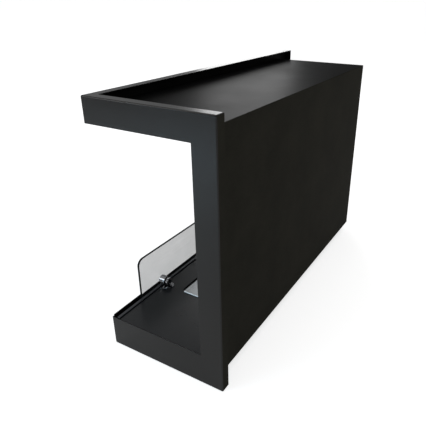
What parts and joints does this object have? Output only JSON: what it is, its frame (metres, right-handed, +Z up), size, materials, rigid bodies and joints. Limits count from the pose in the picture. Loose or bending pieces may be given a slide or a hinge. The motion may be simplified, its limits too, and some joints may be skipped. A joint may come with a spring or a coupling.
{
  "type": "bio-ethanol fireplace insert",
  "caption": "Corner built-in fireplace insert in black sheet steel, open at front and right end, with flange frame, clamped glass screen and lift-out burner with sliding lid.",
  "frame": {"origin": "middle of the flange's width and depth, on the underside of the base pan, which seats on the niche's sill", "axes": "+Z up, the front opening faces -Y, the open end faces +X"},
  "size_m": [0.604, 0.207, 0.4],
  "materials": {
    "powder_coat": "satin fine-texture black powder coat",
    "zinc_steel": "zinc-plated steel",
    "chrome": "polished chrome plate",
    "stainless": "brushed stainless steel",
    "silicone": "matt black silicone",
    "glass": "clear toughened glass with ground edges",
    "ceramic_wick": "porous off-white ceramic wick"
  },
  "bodies": {
    "insert": {"back_panel": "powder_coat", "top_panel": "powder_coat", "left_end_panel": "powder_coat", "base_pan": "powder_coat", "front_top_bar": "powder_coat", "front_left_post": "powder_coat", "front_bottom_bar": "powder_coat", "side_top_bar": "powder_coat", "side_rear_post": "powder_coat", "side_bottom_bar": "powder_coat", "ceiling_liner": "powder_coat", "rear_liner": "powder_coat", "left_liner": "powder_coat", "ceiling_screws": "powder_coat", "rear_screws": "powder_coat", "left_screws": "powder_coat", "floor_plate": "powder_coat", "right_floor_bearer": "powder_coat", "left_floor_bearer": "powder_coat", "glass_channel": "powder_coat", "ceiling_spacers": "zinc_steel", "rear_spacers": "zinc_steel", "left_spacers": "zinc_steel", "clamp_fixing_screws": "zinc_steel", "right_clamp_block": "chrome", "left_clamp_block": "chrome", "glass_gasket": "silicone"},
    "glass_screen": {"glass_pane": "glass"},
    "burner": {"burner_top_plate": "stainless", "burner_tray": "stainless", "wick_block": "ceramic_wick", "wick_cover": "stainless", "front_lid_guide": "stainless", "rear_lid_guide": "stainless"},
    "lid": {"burner_lid": "stainless", "lid_knob": "chrome"},
    "right_pad": {"right_clamp_pad": "silicone"},
    "right_screw": {"right_thumbscrew": "chrome"},
    "left_pad": {"left_clamp_pad": "silicone"},
    "left_screw": {"left_thumbscrew": "chrome"}
  },
  "joints": [
    {"name": "glass_lift", "type": "slide", "parent": "insert", "child": "glass_screen", "axis": [0, 0, 1], "range_m": [0, 0.12]},
    {"name": "burner_lift", "type": "slide", "parent": "insert", "child": "burner", "axis": [0, 0, 1], "range_m": [0, 0.08]},
    {"name": "lid_slide", "type": "slide", "parent": "burner", "child": "lid", "axis": [1, 0, 0], "range_m": [0, 0.139]},
    {"name": "right_pad_slide", "type": "slide", "parent": "insert", "child": "right_pad", "axis": [0, 1, 0], "range_m": [0, 0.0016]},
    {"name": "right_screw_turn", "type": "hinge", "parent": "right_pad", "child": "right_screw", "pos_m": [0.19, -0.083, 0.043], "axis": [0, 1, 0], "range_deg": [0, 720]},
    {"name": "left_pad_slide", "type": "slide", "parent": "insert", "child": "left_pad", "axis": [0, 1, 0], "range_m": [0, 0.0016]},
    {"name": "left_screw_turn", "type": "hinge", "parent": "left_pad", "child": "left_screw", "pos_m": [-0.152, -0.083, 0.043], "axis": [0, 1, 0], "range_deg": [0, 720]}
  ],
  "couplings": [
    {"joint": "right_pad_slide", "follows": "right_screw_turn", "m_per_rad": 0.00012732},
    {"joint": "left_pad_slide", "follows": "left_screw_turn", "m_per_rad": 0.00012732}
  ]
}
